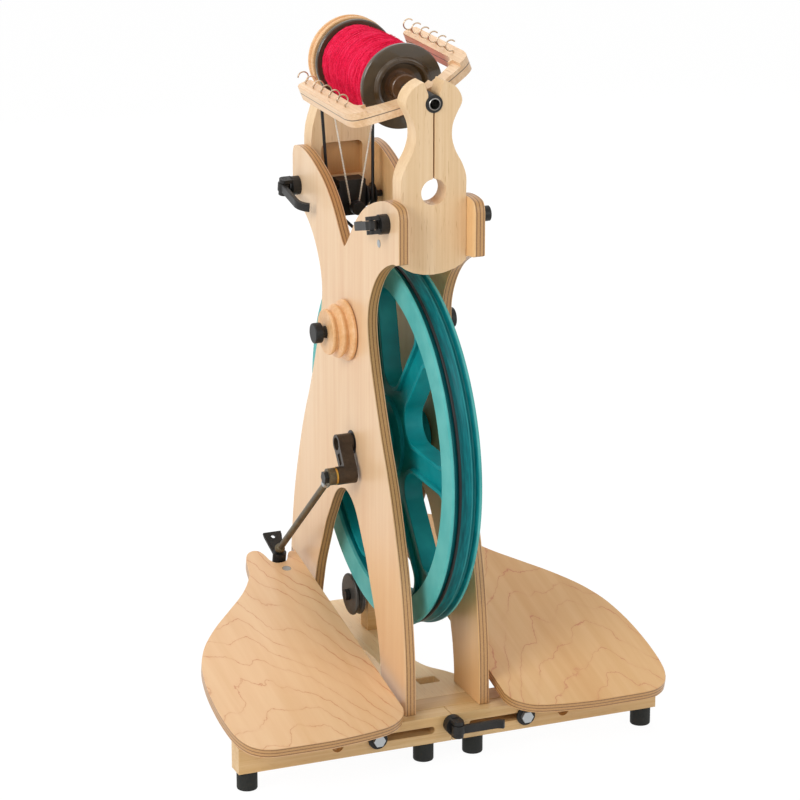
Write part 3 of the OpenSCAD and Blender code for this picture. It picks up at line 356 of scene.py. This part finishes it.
def makeFinishes():
    return {
        "plywood": maplePly("mapleFacedPly", uprightLayer, 10.0, ("#DDB58B", "#E3C098", "#E8C9A5"),
                            (7, 7, 160)),
        "base_maple": solidMaple("oiledMapleBase", 0, ("#CCA267", "#D6B079", "#DEBB88")),
        "maiden_maple": solidMaple("clearMapleMaiden", 2, maidenTones),
        "peg_wood": solidMaple("turnedMaple", 0, ("#DBA66D", "#E3B27D", "#EABE8E")),
        "yoke_wood": laminatedMaple("laminatedMapleYoke"),
        "teal": tealLacquer("satinTealLacquer", ("#00757A", "#05868B", "#1F9CA0")),
        # painted light and shade: the rim's flange tones are lighter than the spokes' and its groove tones
        # darker
        "rim": tealLacquer("satinTealRimLitAndShaded", ("#3E9F9D", "#56B0AC", "#6BBDB8"),
                           ("#005A60", "#006B70", "#0A7D81")),
        "black_steel": grittyFinish("blackenedSteel", "#191817", "#2A2826", 0.8, 0.42, 0.2, 0.1),
        "black_plastic": grittyFinish("mouldedBlackNylon", "#151515", "#242322", 0.7, 0.46),
        "black_rubber": grittyFinish("mouldedRubber", "#171816", "#262723", 0.9, 0.68),
        "black_band": grittyFinish("polymerBand", "#0F1011", "#1C1D1E", 0.6, 0.45),
        "steel": grittyFinish("turnedSteel", "#8D8A86", "#B4B1AC", 0.6, 0.33, 1.0),
        "bronze_steel": grittyFinish("bronzedSteel", "#4C4334", "#73674F", 0.7, 0.42, 0.6),
        "brass": grittyFinish("turnedBrass", "#B58A3B", "#DDB665", 0.7, 0.3, 1.0),
        "hook_wire": grittyFinish("copperedWire", "#A08A72", "#D8C4AA", 0.6, 0.3, 0.9),
        "bobbin_brown": ringedBobbin("oliveBobbinPlastic"),
        "red_yarn": crimsonWool("crimsonWool"),
        "white_cord": grittyFinish("cottonCord", "#CFC8B6", "#EFEADD", 0.5, 0.8),
        "white_plastic": grittyFinish("whiteNylon", "#C9C5BC", "#E4E0D8", 0.8, 0.5),
        # painted light: the plank's tones are much lighter than the other oiled maple, standing in for light
        # that reaches it under the frame
        "plank": solidMaple("oiledMaplePlankPaintedLight", 1, ("#EFCB94", "#F4D5A3", "#F8DDB0")),
        "roller": grittyFinish("castRoller", "#3A3834", "#5A5651", 0.8, 0.4, 0.4),
        # painted shade: the right upright's tones are darker and warmer than the left's, for its shaded inner
        # face
        "right_upright": maplePly("mapleFacedPlyRightShaded", uprightLayer, 10.0, ("#DAAA70", "#E1B57D", "#E8C08C"),
                                  (7, 7, 160)),
        "crank": grittyFinish("brownedSteel", "#2B221A", "#45382B", 0.8, 0.4, 0.3, 0.1),
    }


def treadleTilt(side):
    reach = jointAt[side + "_ball_turn"] - jointAt[side + "_treadle_rock"]
    return math.atan2(reach.z, reach.y) - math.atan2(treadleBoard["ballUp"], treadleBoard["ballBack"])


# depth below the treadle's top, measured square to its tilted board
def treadleLayer(side):
    hinge = jointAt[side + "_treadle_rock"]
    tilt = treadleTilt(side)
    top = treadleBoard["top"] * mm

    def depth(tree, place):
        centred = addNode(tree, "VectorMath", {0: place, 1: hinge}, operation="SUBTRACT")
        level = addNode(tree, "Mapping", {"Vector": centred, "Rotation": (-tilt, 0, 0)})
        height = addNode(tree, "SeparateXYZ", {0: level}, out=2)
        return addNode(tree, "Math", {0: top, 1: height}, operation="SUBTRACT")
    return depth


# a point beside the ball's middle, measured along and square to the tilted treadle
def treadleSpot(side, back, height):
    tilt = treadleTilt(side)
    up = height - treadleBoard["ballUp"]
    shift = Vector((0, back * math.cos(tilt) - up * math.sin(tilt),
                    back * math.sin(tilt) + up * math.cos(tilt)))
    return jointAt[side + "_ball_turn"] + shift * mm


treadleBoard = {"top": 13.0, "thick": 9.5, "ballBack": 267.8, "ballUp": 23.0,
                "tones": {"left": ("#DAAE7D", "#DFB587", "#E3BC8F"),
                          # painted shade: the right treadle's tones are darker and warmer than the left's
                          "right": ("#CF9D62", "#D5A76E", "#DBB07A")}}
finishes = makeFinishes()
for side in ("left", "right"):
    finishes[side + "_treadle"] = maplePly(side + "TreadlePly", treadleLayer(side), treadleBoard["thick"],
                                           treadleBoard["tones"][side], (9, 170, 170), cathedralFigure(side))


# another tone where the mask is one, bright zinc unless told otherwise
def plated(finish, maskOf, tone="#AEB2B4", metallic=0.9):
    tree = finish.node_tree
    surface = tree.nodes["Principled BSDF"].inputs
    place = addNode(tree, "TexCoord", {}, out=3)
    mask = maskOf(tree, place)
    under = surface["Base Color"].links[0].from_socket
    colour = addNode(tree, "Mix", {0: mask, 6: under, 7: linear(tone)}, out=2, data_type="RGBA")
    tree.links.new(colour, surface["Base Color"])
    metal = addNode(tree, "MapRange", {"Value": mask, "To Min": surface["Metallic"].default_value,
                    "To Max": metallic})
    tree.links.new(metal, surface["Metallic"])
    return finish


# the pivot bolts' heads in front of the bars and the inserts in the uprights' faces
brightBolts = {"headAhead": 2.3, "insertIn": 6.0, "insertAbove": 0.4}


def boltHeads(tree, place):
    front = addNode(tree, "SeparateXYZ", {0: place}, out=1)
    across = addNode(tree, "SeparateXYZ", {0: place}, out=0)
    aside = addNode(tree, "Math", {0: across}, operation="ABSOLUTE")
    height = addNode(tree, "SeparateXYZ", {0: place}, out=2)
    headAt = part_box("left_bar")[0].y - brightBolts["headAhead"] * mm
    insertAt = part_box("axle_bearings")[1].x - brightBolts["insertIn"] * mm
    head = addNode(tree, "Math", {0: front, 1: headAt}, operation="LESS_THAN")
    insert = addNode(tree, "Math", {0: aside, 1: insertAt}, operation="GREATER_THAN")
    high = addNode(tree, "Math", {0: height, 1: brightBolts["insertAbove"]}, operation="GREATER_THAN")
    upper = addNode(tree, "Math", {0: insert, 1: high}, operation="MULTIPLY")
    return addNode(tree, "Math", {0: head, 1: upper}, operation="MAXIMUM")


# a ring of the piece between two distances from a point
def shell(centre, near, far):
    def mask(tree, place):
        away = addNode(tree, "VectorMath", {0: place, 1: centre}, out=1, operation="DISTANCE")
        past = addNode(tree, "Math", {0: away, 1: near * mm}, operation="GREATER_THAN")
        short = addNode(tree, "Math", {0: away, 1: far * mm}, operation="LESS_THAN")
        return addNode(tree, "Math", {0: past, 1: short}, operation="MULTIPLY")
    return mask


# the back maiden's pocket, cut across the grain and deeper in tone
pocket = {"half": 21.5, "from": 1.5, "to": 9.0, "height": 68.0, "tone": "#C08C4A", "share": 0.75}


def pocketCut(tree, place):
    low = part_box("back_maiden")[0]
    across = addNode(tree, "SeparateXYZ", {0: place}, out=0)
    aside = addNode(tree, "Math", {0: across}, operation="ABSOLUTE")
    depth = addNode(tree, "SeparateXYZ", {0: place}, out=1)
    height = addNode(tree, "SeparateXYZ", {0: place}, out=2)
    inner = addNode(tree, "Math", {0: aside, 1: pocket["half"] * mm}, operation="LESS_THAN")
    past = addNode(tree, "Math", {0: depth, 1: low.y + pocket["from"] * mm}, operation="GREATER_THAN")
    short = addNode(tree, "Math", {0: depth, 1: low.y + pocket["to"] * mm}, operation="LESS_THAN")
    below = addNode(tree, "Math", {0: height, 1: low.z + pocket["height"] * mm}, operation="LESS_THAN")
    cut = addNode(tree, "Math", {0: past, 1: short}, operation="MULTIPLY")
    side = addNode(tree, "Math", {0: inner, 1: below}, operation="MULTIPLY")
    both = addNode(tree, "Math", {0: cut, 1: side}, operation="MULTIPLY")
    return addNode(tree, "Math", {0: both, 1: pocket["share"]}, operation="MULTIPLY")


finishes["back_maiden"] = plated(solidMaple("clearMapleBack", 2, maidenTones), pocketCut, pocket["tone"], 0.0)
finishes["frame_bolts"] = plated(grittyFinish("zincHeadedBolts", "#191817", "#2A2826", 0.8, 0.4, 0.2),
                                 boltHeads)
for side in ("left", "right"):
    finishes[side + "_rod"] = plated(grittyFinish(side + "BronzedRod", "#4C4334", "#73674F", 0.7, 0.42, 0.6),
                                     shell(jointAt[side + "_ball_turn"], 165.4, 170.6))
    # the strap's screw stands in front of the ball, flush with the treadle
    finishes[side + "_strap"] = plated(grittyFinish(side + "StrapNylon", "#151515", "#242322", 0.7, 0.46),
                                       shell(treadleSpot(side, -21.0, 10.6), -1, 4.5))
print("finishes made:", len(finishes))


def finishFor(node):
    special = {"base_plank": "plank", "wheel_rim": "rim", "rear_roller": "roller", "left_crank": "crank",
               "right_crank": "crank"}
    return finishes.get(node) or finishes[special.get(node, slotOf[node])]


def dress(obj, finish):
    obj.data.materials.clear()
    obj.data.materials.append(finish)


for name, node in nodes.items():
    dress(node, finishFor(name))


# pieces

def deselect():
    bpy.ops.object.select_all(action="DESELECT")


def activate(obj):
    deselect()
    obj.select_set(True)
    bpy.context.view_layer.objects.active = obj


# a CAD solid with its edges eased, the way a router or a file leaves them
def easedPiece(node, width, segments=2, angle=32, smooth=40):
    deselect()
    piece = bpy.data.objects.new(node + ".eased", nodes[node].data.copy())
    bpy.context.collection.objects.link(piece)
    activate(piece)
    bpy.ops.object.mode_set(mode="EDIT")
    bpy.ops.mesh.select_all(action="SELECT")
    bpy.ops.mesh.remove_doubles(threshold=0.00002)
    bpy.ops.mesh.dissolve_limited(angle_limit=math.radians(1.0))
    bpy.ops.object.mode_set(mode="OBJECT")
    ease = piece.modifiers.new("ease", "BEVEL")
    ease.width = width * mm
    ease.segments = segments
    ease.limit_method = "ANGLE"
    ease.angle_limit = math.radians(angle)
    ease.miter_outer = "MITER_ARC"
    bpy.ops.object.modifier_apply(modifier=ease.name)
    bpy.ops.object.shade_smooth_by_angle(angle=math.radians(smooth))
    # broad faces keep their flat shading right up to the eased edge
    flat = piece.modifiers.new("flat", "WEIGHTED_NORMAL")
    flat.keep_sharp = True
    flat.weight = 100
    bpy.ops.object.modifier_apply(modifier=flat.name)
    dress(piece, finishFor(node))
    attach(piece, bodyOf[node])
    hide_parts(node)
    return piece


easedEdges = {
    "left_upright": 1.5, "right_upright": 1.5, "left_treadle": 1.7, "right_treadle": 1.7,
    "front_maiden": 2.0, "back_maiden": 1.6, "flyer_yoke": 1.8, "left_bar": 1.1, "right_bar": 1.1,
    "front_rail": 1.1, "base_plank": 1.2, "roller_block": 0.9, "rear_feet": 1.2, "left_bar_feet": 1.2,
    "right_bar_feet": 1.2, "idler_block": 0.9, "left_crank": 0.6, "right_crank": 0.6,
    "front_lever": 0.8, "back_lever": 0.8, "base_lever": 0.8, "storage_pegs": 1.1, "quick_releases": 0.6,
    "brake_knob": 0.8, "wheel_spokes": 1.4, "left_strap": 0.6, "right_strap": 0.6,
    "wheel_rim": 0.7, "rear_roller": 0.6, "stored_whorl": 0.5, "whorl": 0.4, "bobbin": 0.4,
}
for name, width in easedEdges.items():
    easedPiece(name, width)
print("eased pieces:", len(easedEdges))


# a round strand along a route, made as a curve and turned into a mesh
def strand(name, route, radius, sides=8, closed=False):
    path = bpy.data.curves.new(name, "CURVE")
    path.dimensions = "3D"
    path.bevel_depth = radius
    path.bevel_resolution = max(0, sides // 2 - 2)
    path.use_fill_caps = not closed
    line = path.splines.new("POLY")
    line.points.add(len(route) - 1)
    for point, spot in zip(line.points, route):
        point.co = (*spot, 1.0)
    line.use_cyclic_u = closed
    piece = bpy.data.objects.new(name, path)
    bpy.context.collection.objects.link(piece)
    activate(piece)
    bpy.ops.object.convert(target="MESH")
    piece = bpy.context.view_layer.objects.active
    bpy.ops.object.shade_smooth()
    return piece


def joined(name, parts):
    deselect()
    for part in parts:
        part.select_set(True)
    bpy.context.view_layer.objects.active = parts[0]
    bpy.ops.object.join()
    parts[0].name = name
    return parts[0]


# drive band: once round the wheel, over two idlers and over the whorl
driveBand = {"radius": 1.5, "wheelRadius": 173.1, "idlerRadius": 10.1, "whorlRadius": 27.3,
             "bandX": -6.0, "idlerX": 18.5, "idler": (107.0, 205.0), "whorlY": 118.0, "sides": 14,
             "heldLow": 0.12, "heldHigh": 0.76}


def bandRoute():
    d = driveBand
    toIdler = math.atan2(d["idler"][1], d["idler"][0])
    opening = math.acos((d["wheelRadius"] + d["idlerRadius"]) / math.hypot(*d["idler"]))
    leave, meet = toIdler + opening, toIdler - opening

    def onIdler(x, a):
        r = d["idlerRadius"]
        return (x, d["idler"][0] + r * math.cos(a), d["idler"][1] + r * math.sin(a))

    # the straight legs carry two extra points each, marking how far they stay in the pulleys' grooves before
    # they hang free
    def along(a, b, parts):
        return [Vector(a).lerp(Vector(b), f) for f in parts]

    rise = (flyerAt.z - axleAt.z) / mm
    spots = [onIdler(-d["idlerX"], leave + math.pi + (math.pi - leave) * i / 9) for i in range(10)]
    over = []
    for i in range(33):
        a = math.radians(183.7 - 187.4 * i / 32)
        over.append((d["whorlRadius"] * math.cos(a), d["whorlY"], rise + d["whorlRadius"] * math.sin(a)))
    down = [onIdler(d["idlerX"], math.radians(171) + (meet + math.radians(9)) * i / 9) for i in range(10)]
    spots += along(spots[-1], over[0], (d["heldLow"], d["heldHigh"])) + over
    spots += along(over[-1], down[0], (1 - d["heldHigh"], 1 - d["heldLow"])) + down
    for i in range(121):
        a = meet - (2 * math.pi - 2 * opening) * i / 120
        spots.append((d["bandX"], d["wheelRadius"] * math.cos(a), d["wheelRadius"] * math.sin(a)))
    return [axleAt + Vector(s) * mm for s in spots]


bandPiece = strand("driveBand", bandRoute(), driveBand["radius"] * mm, driveBand["sides"], True)
dress(bandPiece, finishes["black_band"])
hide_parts("drive_band")

# brake cord: two plies twisted round each other, from the bobbin's groove down to the knob
brakeCord = {"plyRadius": 0.48, "layRadius": 0.43, "twist": 5.2, "turnRadius": 28.4, "neckRadius": 3.7,
             "cordY": 97.0, "knob": (0.0, 96.4, 198.0), "step": 0.65}


def cordLine():
    c = brakeCord
    rise = (flyerAt.z - axleAt.z) / mm
    lean = math.asin((c["turnRadius"] - c["neckRadius"]) / (rise - c["knob"][2]))
    spots = []
    for i in range(41):
        a = math.pi + lean - (math.pi + 2 * lean) * i / 40
        spots.append(Vector((c["turnRadius"] * math.cos(a), c["cordY"], rise + c["turnRadius"] * math.sin(a))))
    for i in range(17):
        a = -lean - (math.pi - 2 * lean) * i / 16
        r = c["neckRadius"]
        spots.append(Vector((r * math.cos(a), c["knob"][1], c["knob"][2] + r * math.sin(a))))
    return spots + [spots[0]]


def evenly(spots, step):
    out, carry = [], 0.0
    for a, b in zip(spots, spots[1:]):
        length = (b - a).length
        at = carry
        while at < length:
            out.append(a.lerp(b, at / length))
            at += step
        carry = at - length
    return out


def makeBrakeCord():
    c = brakeCord
    line = evenly(cordLine(), c["step"])
    turns = max(1, round(len(line) * c["step"] / c["twist"]))
    plies = []
    for ply in (0, 1):
        route = []
        for i, spot in enumerate(line):
            ahead = (line[(i + 1) % len(line)] - line[i - 1]).normalized()
            side = ahead.cross(Vector((0, 1, 0))).normalized()
            a = 2 * math.pi * turns * i / len(line) + math.pi * ply
            off = (side * math.cos(a) + ahead.cross(side) * math.sin(a)) * c["layRadius"]
            route.append(axleAt + (spot + off) * mm)
        plies.append(strand("ply", route, c["plyRadius"] * mm, 6, True))
    return joined("brakeCord", plies)


cordPiece = makeBrakeCord()
dress(cordPiece, finishes["white_cord"])
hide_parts("brake_cord")
# both have their placement baked into their meshes
for piece, low, high in ((bandPiece, 226, 300), (cordPiece, 206, 300)):
    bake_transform(piece)
print("band and cord made")


# yarn: a soft wound body, then loops laid over it back and forth with uneven pitch, and a halo of fibre ends
woundYarn = {"bodyRadius": 32.6, "swell": 1.1, "from": -16.4, "to": 90.4, "strand": 0.95, "pitch": 1.75,
             "passes": 3, "lift": 0.5, "hairs": 4200, "hairLength": 6.0, "standOff": 1.8, "seed": 7}


def yarnRadius(t, a):
    w = woundYarn
    swell = w["swell"] * math.sin(math.pi * min(1, max(0, t))) ** 0.5
    return w["bodyRadius"] + swell + 0.35 * math.sin(3 * a + 9 * t) + 0.3 * math.sin(23 * t + 2 * a)


def makeYarn():
    w = woundYarn
    deselect()
    bpy.ops.mesh.primitive_cylinder_add(vertices=72, radius=w["bodyRadius"] * mm, end_fill_type="NGON",
                                        depth=(w["to"] - w["from"]) * mm, rotation=(math.pi / 2, 0, 0),
                                        location=flyerAt + Vector((0, (w["from"] + w["to"]) / 2 * mm, 0)))
    body = bpy.context.view_layer.objects.active
    bpy.ops.object.transform_apply(location=True, rotation=True, scale=True)
    bpy.ops.object.mode_set(mode="EDIT")
    for i in range(1, 36):
        bpy.ops.mesh.select_all(action="SELECT")
        depth = flyerAt.y + (w["from"] + (w["to"] - w["from"]) * i / 36) * mm
        bpy.ops.mesh.bisect(plane_co=(0, depth, 0), plane_no=(0, 1, 0))
    bpy.ops.object.mode_set(mode="OBJECT")
    for v in body.data.vertices:
        out = Vector((v.co.x - flyerAt.x, 0, v.co.z - flyerAt.z))
        t = ((v.co.y - flyerAt.y) / mm - w["from"]) / (w["to"] - w["from"])
        r = (yarnRadius(t, math.atan2(out.z, out.x)) - 0.3) * mm
        v.co = Vector((flyerAt.x, v.co.y, flyerAt.z)) + out.normalized() * r
    parts = [body]
    draw = random.Random(w["seed"])
    for lay in range(w["passes"]):
        pitch = w["pitch"] * (1 + 0.9 * lay)
        y, a, route = w["from"] + 1.4, lay * 2.1, []
        wave = draw.uniform(0, 6)
        while y < w["to"] - 1.4:
            t = (y - w["from"]) / (w["to"] - w["from"])
            lift = w["lift"] * (0.4 + lay * 0.75 + 0.4 * math.sin(5 * a + wave))
            r = yarnRadius(t, a) + lift
            depth = y if lay % 2 == 0 else w["from"] + w["to"] - y
            route.append(flyerAt + Vector((r * math.cos(a), depth, r * math.sin(a))) * mm)
            a += 2 * math.pi / 30
            y += pitch / 30 * (1 + 0.45 * math.sin(a / 7.3 + wave) + 0.3 * draw.uniform(-1, 1))
        parts.append(strand("lay", route, w["strand"] * mm, 6))
    return joined("woundYarn", parts)


# loose fibre ends: thin three-sided wisps, bent once, that stand off the wound face
def makeHalo():
    w = woundYarn
    draw = random.Random(w["seed"] + 1)
    path = bpy.data.curves.new("yarnHalo", "CURVE")
    path.dimensions = "3D"
    path.bevel_depth = 0.075 * mm
    path.bevel_resolution = 0
    for _ in range(w["hairs"]):
        t, a = draw.uniform(0.02, 0.98), draw.uniform(0, 2 * math.pi)
        y = w["from"] + (w["to"] - w["from"]) * t
        length = w["hairLength"] * draw.uniform(0.35, 1.0)
        swing = draw.choice((-1, 1)) * draw.uniform(0.6, 1.0)
        drift = draw.uniform(-0.5, 0.5)
        spots = []
        for k in range(4):
            s = k / 3
            turn = a + swing * length * s / 36
            arch = math.sin(math.pi * min(1, s * 0.8))
            r = yarnRadius(t, a) + 1.1 + w["standOff"] * draw.uniform(0.2, 1.0) * arch
            depth = min(w["to"], max(w["from"], y + drift * length * s))
            spots.append(flyerAt + Vector((r * math.cos(turn), depth, r * math.sin(turn))) * mm)
        line = path.splines.new("POLY")
        line.points.add(3)
        for point, spot in zip(line.points, spots):
            point.co = (*spot, 1.0)
    halo = bpy.data.objects.new("yarnHalo", path)
    bpy.context.collection.objects.link(halo)
    activate(halo)
    bpy.ops.object.convert(target="MESH")
    return bpy.context.view_layer.objects.active


yarnPiece = makeYarn()
haloPiece = makeHalo()
for piece in (yarnPiece, haloPiece):
    dress(piece, finishes["red_yarn"])
    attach(piece, "bobbin")
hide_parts("yarn")
print("yarn made:", len(yarnPiece.data.polygons), "faces, halo", len(haloPiece.data.polygons))

# stage: pale floor and backdrop, camera and lamps
photoView = {"place": (-1.1444, -2.8315, 1.2977), "along": (0.3580, 0.8809, -0.3097), "lens": 155.9}
lampSet = {
    "key": {"place": (-2.3, -1.1, 1.75), "size": 1.4, "power": 43},
    "fill": {"place": (1.4, -2.2, 1.0), "size": 1.6, "power": 12},
    "top": {"place": (-0.2, 0.4, 2.4), "size": 1.6, "power": 11},
    "back": {"place": (0.2, 1.9, 1.2), "size": 1.4, "power": 24},
}


def makeStage():
    deselect()
    bpy.ops.mesh.primitive_plane_add(size=14, location=(0, 0, -0.0005))
    floor = bpy.context.view_layer.objects.active
    floor.name = "paleFloor"
    finish, tree, surface, place = newFinish("palePaper", Roughness=0.9)
    surface["Base Color"].default_value = linear("#F4F3F1")
    glow = addNode(tree, "Emission", {"Color": (1, 1, 1, 1), "Strength": 1.04})
    seen = addNode(tree, "LightPath", {}, out=0)
    glossy = addNode(tree, "LightPath", {}, out=3)
    plain = addNode(tree, "Math", {0: seen, 1: glossy}, operation="MAXIMUM")
    most = addNode(tree, "Math", {0: plain, 1: 0.92}, operation="MULTIPLY")
    shader = tree.nodes["Principled BSDF"].outputs[0]
    blend = addNode(tree, "MixShader", {0: most, 1: shader, 2: glow})
    tree.links.new(blend, tree.nodes["Material Output"].inputs[0])
    dress(floor, finish)
    world = bpy.data.worlds.new("studio")
    world.use_nodes = True
    bpy.context.scene.world = world
    tree = world.node_tree
    back = tree.nodes["Background"]
    seen = addNode(tree, "LightPath", {}, out=0)
    glossy = addNode(tree, "LightPath", {}, out=3)
    plain = addNode(tree, "Math", {0: seen, 1: glossy}, operation="MAXIMUM")
    level = addNode(tree, "MapRange", {"Value": plain, "To Min": 0.44, "To Max": 1.0})
    back.inputs["Color"].default_value = (1, 1, 1, 1)
    tree.links.new(level, back.inputs["Strength"])
    middle = Vector((0, 0, 0.32))
    for name, lamp in lampSet.items():
        light = bpy.data.lights.new(name, "AREA")
        light.energy = lamp["power"]
        light.size = lamp["size"]
        body = bpy.data.objects.new(name, light)
        bpy.context.collection.objects.link(body)
        body.location = lamp["place"]
        # only the back lamp would mirror itself in the treadles
        body.visible_glossy = name != "back"
        body.rotation_euler = (middle - Vector(lamp["place"])).to_track_quat("-Z", "Y").to_euler()
    camera = bpy.data.cameras.new("photoCamera")
    camera.lens = photoView["lens"]
    camera.sensor_width = 36
    camera.clip_end = 50
    body = bpy.data.objects.new("photoCamera", camera)
    bpy.context.collection.objects.link(body)
    body.location = photoView["place"]
    body.rotation_euler = Vector(photoView["along"]).to_track_quat("-Z", "Y").to_euler()
    bpy.context.scene.camera = body
    bpy.context.scene.view_settings.view_transform = "Standard"


makeStage()
print("stage set")
